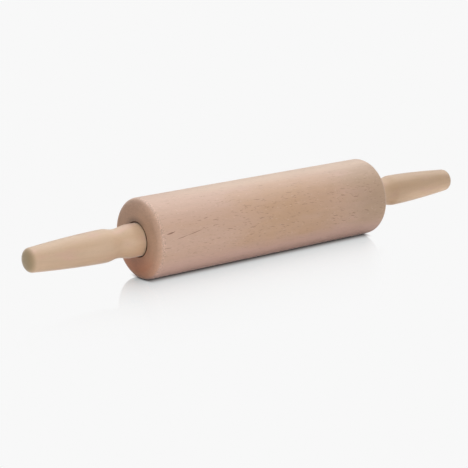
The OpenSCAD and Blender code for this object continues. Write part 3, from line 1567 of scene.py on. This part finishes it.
@dataclass(frozen=True)
class HandleSizes:
    """Sizes of a handle, with places counted from the barrel's end face.

    Attributes:
        collar_r: Radius of the straight collar.
        collar_out: Where the collar ends.
        neck_r: Smallest radius of the neck.
        neck_at: Place of that smallest radius.
        swell_r: Greatest radius of the grip.
        swell_at: Place of that greatest radius.
        tip_r: Radius that the taper reaches at the end.
        tip_length: Length of the rounding at the end.
        taper_power: How long the grip stays full: 1 is a straight cone.
        tip_power: How square the rounding is: 2 is an ellipse.
        chamfer: Chamfer round the collar's inner face.
        bore_gap: How much tighter the blind bore is than the axle.
        bore_spare: Length of the bore beyond the axle's end.
        curve_steps: Number of faces along the neck's two curves, and along the rounding.
        taper_steps: Number of faces along the taper.
        wall_step: Length of a face along the straight walls.
    """

    collar_r: float = 13.35 * MM
    collar_out: float = 7.2 * MM
    neck_r: float = 11.5 * MM
    neck_at: float = 20.5 * MM
    swell_r: float = 13.1 * MM
    swell_at: float = 31.5 * MM
    tip_r: float = 9.1 * MM
    tip_length: float = 5.5 * MM
    taper_power: float = 1.6
    tip_power: float = 2.3
    chamfer: float = 0.8 * MM
    bore_gap: float = 0.05 * MM
    bore_spare: float = 1 * MM
    curve_steps: int = 14
    taper_steps: int = 26
    wall_step: float = 5 * MM


class Side(Enum):
    """The two ends of the pin, by which way they lie along X."""

    LEFT = -1
    RIGHT = 1

    @property
    def word(self) -> str:
        """The side's name as pieces carry it."""
        return self.name.lower()


@dataclass
class Handle:
    """One turned handle, from its collar's inner face to its rounded end.

    Attributes:
        side: The end of the pin that it stands on.
        finish: Its wood.
        sizes: Its sizes.
        lathe: How finely it is turned.
    """

    side: Side
    finish: HandleWood
    sizes: HandleSizes = HandleSizes()
    lathe: Lathe = Lathe(steps=160)

    @property
    def node(self) -> str:
        """Name of the CAD node that it stands for."""
        return f"{self.side.word}_handle"

    def taper(self, s: float, end: float) -> float:
        """Radius of the grip beyond its swell.

        Args:
            s: Distance from the barrel's end face.
            end: Distance of the handle's end.

        Returns:
            The radius.
        """
        size = self.sizes
        share = (s - size.swell_at) / (end - size.swell_at)
        return size.swell_r - (size.swell_r - size.tip_r) * share**size.taper_power

    def grip_outline(self, end: float) -> Outline:
        """Lists the outline from the end of the collar to the handle's end.

        Args:
            end: Distance of the handle's end from the barrel's end face.

        Returns:
            Places (distance from the end face, radius).
        """
        size, steps = self.sizes, self.sizes.curve_steps
        points = [(size.collar_out, size.collar_r)]
        for (s0, r0), (s1, r1) in (
            ((size.collar_out, size.collar_r), (size.neck_at, size.neck_r)),
            ((size.neck_at, size.neck_r), (size.swell_at, size.swell_r)),
        ):
            for i in range(1, steps + 1):
                t = i / steps
                points.append((s0 + (s1 - s0) * t, r0 + (r1 - r0) * ease(t)))
        tip_from = end - size.tip_length
        for i in range(1, size.taper_steps + 1):
            s = size.swell_at + (tip_from - size.swell_at) * i / size.taper_steps
            points.append((s, self.taper(s, end)))
        for i in range(1, steps + 1):
            turn = math.pi / 2 * i / steps
            s = tip_from + size.tip_length * math.sin(turn) ** (2 / size.tip_power)
            closing = math.cos(turn) ** (2 / size.tip_power) if i < steps else 0.0
            points.append((s, self.taper(s, end) * closing))
        return points

    def outline(self) -> Outline:
        """Lists the whole outline, from the bottom of the bore round to the handle's end.

        Returns:
            Places (along the pin, distance from its axis).
        """
        size, way = self.sizes, self.side.value
        low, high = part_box(self.node)
        inner, outer = sorted((abs(low.x), abs(high.x)))
        end_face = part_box("barrel")[1].x
        bore_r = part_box("axle")[1].z - size.bore_gap
        bore_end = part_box("axle")[1].x + size.bore_spare
        bore = even_steps(bore_end, inner, 2 * size.wall_step)
        collar = even_steps(inner + size.chamfer, end_face + size.collar_out, size.wall_step)
        points = (
            [(bore_end, 0.0), (bore_end, bore_r)]
            + [(x, bore_r) for x in bore]
            + [(inner, bore_r), (inner, size.collar_r - size.chamfer)]
            + [(inner + size.chamfer, size.collar_r)]
            + [(x, size.collar_r) for x in collar]
            + [(end_face + s, r) for s, r in self.grip_outline(outer - end_face)]
        )
        return [(way * x, r) for x, r in points]

    def build(self) -> bpy.types.Object:
        """Turns the handle, dresses it and puts it in its CAD node's place.

        Returns:
            The handle.
        """
        outline = self.outline()
        piece = self.lathe.start(f"{self.node}_wood")
        self.lathe.draw(outline)
        self.lathe.spin()
        self.lathe.finish(piece)
        piece.data.materials.append(
            self.finish.material(outline[-1][0], self.sizes.tip_length)
        )
        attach(piece, "handles")
        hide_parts(self.node)
        return piece


@dataclass
class Bearings:
    """The steel inside the pin: the axle, and at each end a shielded ball bearing and a washer.

    Attributes:
        axle: Finish of the axle.
        races: Finish of the bearings' races and rivets.
        balls: Finish of their balls.
        sheet: Finish of their cages and shields.
        washers: Finish of the washers.
    """

    axle: Steel = Steel("axle_steel", (200, 201, 205), rough=0.30, working=Working.DRAWN)
    races: Steel = Steel("bearing_steel", (206, 208, 211), rough=0.20, working=Working.GROUND)
    balls: Steel = Steel("ball_steel", (222, 224, 227), rough=0.07, working=Working.POLISHED)
    sheet: Steel = Steel("sheet_steel", (180, 182, 185), rough=0.34, working=Working.PRESSED)
    washers: Steel = Steel("washer_steel", (190, 192, 196), rough=0.38, working=Working.GROUND)

    def by_node(self) -> dict[str, Steel]:
        """Says which finish each steel node wears.

        Returns:
            The finish by the node's name.
        """
        worn = {"axle": self.axle}
        for side in Side:
            for part in ("outer_race", "inner_race", "cage_rivets"):
                worn[f"{side.word}_{part}"] = self.races
            for part in ("cage_inner_half", "cage_outer_half", "inner_shield", "outer_shield"):
                worn[f"{side.word}_{part}"] = self.sheet
            worn[f"{side.word}_balls"] = self.balls
            worn[f"{side.word}_washer"] = self.washers
        return worn

    def build(self) -> list[bpy.types.Object]:
        """Dresses the steel nodes.

        Returns:
            The nodes.
        """
        made: dict[str, bpy.types.Material] = {}
        dressed = []
        for name, steel in self.by_node().items():
            if steel.name not in made:
                made[steel.name] = steel.material()
            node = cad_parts[name]
            node.data.materials.clear()
            node.data.materials.append(made[steel.name])
            dressed.append(node)
        return dressed


# The studio


@dataclass
class Table:
    """The glossy white table that the pin lies on.

    To the camera it is as white as the background, apart from the pin's reflection, a glossy
    mirror image, and its contact shadow, which is painted on; both fade out with the distance
    from the barrel. It lights the pin as plain white paint does, darkened near the barrel as a
    painted shadow.

    Attributes:
        half_size: Half the table's side.
        white: Colour of the background.
        paint: Colour that the table lights the pin with.
        lit: Share of light that the camera sees coming back from within the painted contact
            shadow.
        dusk: Tint of the white that is left in that shadow.
        gloss: Colour of the reflection at the barrel, seen at a slant. It is warm, so that the
            reflection of brown wood is grey.
        slant: How much of the reflection shows, from a look straight down to one along the table.
        gloss_fade: Distance over which the reflection fades to about a third.
        right_fade: Distance beyond the barrel's right end within which the reflection ends.
        right_lean: How far that border leans back for one unit towards the camera.
        contact: Distance over which the painted contact shadow fades to about a third.
        contact_power: How sharply it does so.
        round_end: Length of the barrel's rounded end, which doesn't touch the table.
        end_haste: How much sooner the shadow fades past that.
        polish: Roughness of the reflection.
        hollow: How much less the table lights the pin from within that shadow, as a painted
            shadow in
        its paint.
    """

    half_size: float = 4.0
    white: Colour = (248, 248, 248)
    paint: Colour = (250, 249, 248)
    lit: tuple[float, float, float] = (0.10, 0.062, 0.054)
    dusk: tuple[float, float, float] = (1.0, 0.84, 0.80)
    gloss: tuple[float, float, float] = (0.62, 0.57, 0.56)
    slant: Fade = Fade(0.25, 0.65)
    gloss_fade: float = 31 * MM
    right_fade: float = 32 * MM
    right_lean: float = 0.9
    contact: float = 12.4 * MM
    contact_power: float = 3.8
    round_end: float = 6 * MM
    end_haste: float = 3.0
    polish: float = 0.08
    hollow: float = 0.85

    def gloss_share(self, graph: Graph, x: Term, y: Term, half_length: float) -> Term:
        """Works out how much of the reflection shows.

        Args:
            graph: The graph to build in.
            x: Place along the pin.
            y: Place across it.
            half_length: Half the barrel's length.

        Returns:
            A mask.
        """
        beyond = graph.math("MAXIMUM", abs(x) - half_length, 0.0)
        share = graph.math("EXPONENT", graph.hypot(beyond, y) * (-1 / self.gloss_fade))
        rightwards = x - y * self.right_lean
        fading = graph.between(rightwards, half_length + self.right_fade, half_length)
        facing = graph.node("ShaderNodeLayerWeight", None, None, "Facing")
        return share * fading * self.slant.mask(facing)

    def contact_share(self, graph: Graph, x: Term, y: Term, half_length: float) -> Term:
        """Works out how deep the painted contact shadow is.

        Args:
            graph: The graph to build in.
            x: Place along the pin.
            y: Place across it.
            half_length: Half the barrel's length.

        Returns:
            A mask.
        """
        touching = half_length - self.round_end
        past_end = graph.math("MAXIMUM", abs(x) - touching, 0.0) * self.end_haste
        distance = graph.hypot(past_end, y) / self.contact
        return graph.math("EXPONENT", graph.math("POWER", distance, self.contact_power) * -1.0)

    def shown(self, graph: Graph, gloss: Term, contact: Term) -> Term:
        """Makes the surface that the camera sees.

        Args:
            graph: The graph to build in.
            gloss: How much of the reflection shows.
            contact: How deep the painted contact shadow is.

        Returns:
            The shader.
        """
        white = linear(self.white)
        dimmed = [w * (1 - g) for w, g in zip(white, self.gloss)] + [1.0]
        kept = graph.blend(gloss, white, dimmed)
        # Painted contact shadow: near the barrel the white glow is darkened and tinted.
        kept = graph.blend(contact, kept, (*self.dusk, 1.0), "MULTIPLY")
        shine = graph.blend(gloss, BLACK, (*self.gloss, 1.0))
        glow = graph.node("ShaderNodeEmission", None, {"Color": kept, "Strength": 1.0})
        mirror = graph.node(
            "ShaderNodeBsdfGlossy", None, {"Color": shine, "Roughness": self.polish}
        )
        glossy = graph.node("ShaderNodeAddShader", None, {"Shader": glow, "Shader_001": mirror})
        # Within the painted contact shadow the camera sees a dark, lit surface instead.
        lit = graph.node("ShaderNodeBsdfDiffuse", None, {"Color": (*self.lit, 1.0)})
        shaders = {"Fac": contact, "Shader": glossy, "Shader_001": lit}
        return graph.node("ShaderNodeMixShader", None, shaders)

    def material(self, half_length: float) -> bpy.types.Material:
        """Builds the table's surface.

        Args:
            half_length: Half the barrel's length.

        Returns:
            The material.
        """
        material, graph = new_material("table_white")
        x, y, _ = graph.axes(graph.node("ShaderNodeTexCoord", None, None, "Object"))
        gloss = self.gloss_share(graph, x, y, half_length)
        contact = self.contact_share(graph, x, y, half_length)
        # Painted shadow: near the barrel the paint that lights the pin is darkened.
        paint = graph.blend(contact * self.hollow, linear(self.paint), BLACK)
        shaders = {
            "Fac": graph.node("ShaderNodeLightPath", None, None, "Is Camera Ray"),
            "Shader": graph.node("ShaderNodeBsdfDiffuse", None, {"Color": paint}),
            "Shader_001": self.shown(graph, gloss, contact),
        }
        mixed = graph.node("ShaderNodeMixShader", None, shaders)
        graph.node("ShaderNodeOutputMaterial", None, {"Surface": mixed})
        return material

    def build(self) -> bpy.types.Object:
        """Adds the table under the barrel.

        Returns:
            The table.
        """
        low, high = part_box("barrel")
        bpy.ops.object.select_all(action="DESELECT")
        bpy.ops.mesh.primitive_plane_add(size=2 * self.half_size, location=(0, 0, low.z))
        table = bpy.context.active_object
        table.name = "table"
        bpy.ops.object.transform_apply(location=True, rotation=True, scale=True)
        table.data.materials.append(self.material(high.x))
        return table


@dataclass(frozen=True)
class Softbox:
    """A soft rectangular lamp, or a reflector, that the camera doesn't see.

    Attributes:
        name: The lamp's name.
        place: Where it stands.
        aim: Point that it is turned to.
        size: Width and height of its face.
        watts: Its power.
        beam: Angle that its light spreads over.
    """

    name: str
    place: tuple[float, float, float]
    aim: tuple[float, float, float]
    size: tuple[float, float]
    watts: float
    beam: float

    def build(self) -> bpy.types.Object:
        """Stands the lamp in its place.

        Returns:
            The lamp.
        """
        way = Vector(self.place) - Vector(self.aim)
        turn = way.to_track_quat("Z", "Y").to_euler()
        bpy.ops.object.light_add(type="AREA", location=self.place, rotation=turn)
        lamp = bpy.context.active_object
        lamp.name = self.name
        lamp.visible_camera = False
        lamp.data.shape = "RECTANGLE"
        lamp.data.size, lamp.data.size_y = self.size
        lamp.data.energy = self.watts
        lamp.data.spread = self.beam
        return lamp


@dataclass
class Studio:
    """The camera, the soft light from above and the white surroundings.

    Attributes:
        eye: Place of the camera.
        aim: Point that the camera looks at.
        lens_mm: Focal length.
        sensor_mm: Width of the picture that goes with it.
        farthest: Distance beyond which the camera sees nothing.
        white: Colour of the background.
        sky_colour: Colour of the light from all round.
        sky: Strength of that light.
        overhead: Strength of the soft light from above.
        overhead_towards: Direction from the pin to the middle of that light.
        overhead_width: Angle that it spans.
        front: The lamp that lights the side towards the camera, and most of all its left.
        card: The small reflector that lies on the table and lights the right handle from below.
    """

    eye: tuple[float, float, float] = (-0.76199, -0.98011, 0.32795)
    aim: tuple[float, float, float] = (-0.02282, 0.0, -0.01137)
    lens_mm: float = 119.781
    sensor_mm: float = 36.0
    farthest: float = 30.0
    white: Colour = (248, 248, 248)
    sky_colour: Colour = (255, 255, 255)
    sky: float = 0.24
    overhead: float = 2.5
    overhead_towards: tuple[float, float, float] = (0.25, 0.24, 1.0)
    overhead_width: float = math.radians(80)
    front: Softbox = Softbox(
        "front_softbox",
        place=(-0.30, -1.30, 0.06),
        aim=(-0.17, 0.0, 0.0),
        size=(0.4, 0.4),
        watts=0.335,
        beam=math.radians(38),
    )
    card: Softbox = Softbox(
        "right_card",
        place=(0.195, -0.022, -0.031),
        aim=(0.195, -0.008, 0.0),
        size=(0.08, 0.03),
        watts=0.0055,
        beam=math.radians(120),
    )

    def surroundings(self) -> None:
        """Fills the world with dim light that the camera and shiny things see as white."""
        world = bpy.data.worlds.new("white_surroundings")
        world.use_nodes = True
        graph = Graph(world.node_tree)
        rays = graph.tree.nodes.new("ShaderNodeLightPath")
        seen = Term(graph, rays.outputs["Is Camera Ray"])
        for name in ("Is Glossy Ray", "Is Transmission Ray"):
            seen = graph.math("MAXIMUM", seen, Term(graph, rays.outputs[name]))
        light = {"Color": linear(self.sky_colour), "Strength": self.sky}
        shown = {"Color": linear(self.white), "Strength": 1.0}
        inputs = {
            "Fac": seen,
            "Shader": graph.node("ShaderNodeBackground", None, light),
            "Shader_001": graph.node("ShaderNodeBackground", None, shown),
        }
        mixed = graph.node("ShaderNodeMixShader", None, inputs)
        graph.node("ShaderNodeOutputWorld", None, {"Surface": mixed})
        bpy.context.scene.world = world

    def camera(self) -> bpy.types.Object:
        """Stands the camera where the picture was taken from.

        Returns:
            The camera.
        """
        look = Vector(self.aim) - Vector(self.eye)
        turn = look.to_track_quat("-Z", "Y").to_euler()
        bpy.ops.object.camera_add(location=self.eye, rotation=turn)
        camera = bpy.context.active_object
        camera.name = "camera"
        camera.data.sensor_width = self.sensor_mm
        camera.data.lens = self.lens_mm
        camera.data.clip_end = self.farthest
        bpy.context.scene.camera = camera
        return camera

    def lamp(self) -> bpy.types.Object:
        """Hangs the soft light.

        Returns:
            The light.
        """
        turn = Vector(self.overhead_towards).to_track_quat("Z", "Y").to_euler()
        bpy.ops.object.light_add(type="SUN", location=(0, 0, 1), rotation=turn)
        lamp = bpy.context.active_object
        lamp.name = "overhead_light"
        lamp.data.energy = self.overhead
        lamp.data.angle = self.overhead_width
        return lamp

    def build(self) -> None:
        """Sets up the light, the camera and how the picture is shown."""
        self.surroundings()
        self.lamp()
        self.front.build()
        self.card.build()
        self.camera()
        bpy.context.scene.view_settings.view_transform = "Standard"


def report(pieces: Sequence[bpy.types.Object]) -> None:
    """Logs what was built.

    Args:
        pieces: The pieces to name.
    """
    for piece in pieces:
        low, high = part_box(piece.name) if piece.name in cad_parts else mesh_box(piece)
        size = (high - low) / MM
        LOG.info(
            "%s: %d faces, %.1f x %.1f x %.1f mm", piece.name, len(piece.data.polygons), *size
        )


def mesh_box(piece: bpy.types.Object) -> tuple[Vector, Vector]:
    """Finds the box round a mesh.

    Args:
        piece: The mesh's object.

    Returns:
        The lowest and the highest corner.
    """
    places = [point.co for point in piece.data.vertices]
    low = Vector(min(place[i] for place in places) for i in range(3))
    return low, Vector(max(place[i] for place in places) for i in range(3))


def main() -> None:
    """Builds the pin and its studio."""
    logging.basicConfig(level=logging.INFO, format="%(name)s %(message)s")
    left_wood = HandleWood(
        "left_handle_wood",
        Log(pith_mm=64.0, pith_deg=35.0, seed=1.2, wander_mm=0.8),
    )
    # The right handle's wood is darker: partly its own tone, partly painted shade where less
    # light falls at the right.
    right_wood = HandleWood(
        "right_handle_wood",
        Log(pith_mm=58.0, pith_deg=200.0, seed=2.6, wander_mm=0.8),
        cream=(197, 166, 135),
        honey=(187, 154, 121),
        pink=(191, 156, 131),
    )
    pieces = [Barrel().build()]
    pieces.append(Handle(Side.LEFT, left_wood).build())
    pieces.append(Handle(Side.RIGHT, right_wood).build())
    pieces += Bearings().build()
    report(pieces)
    Table().build()
    Studio().build()


if __name__ == "__main__":
    main()
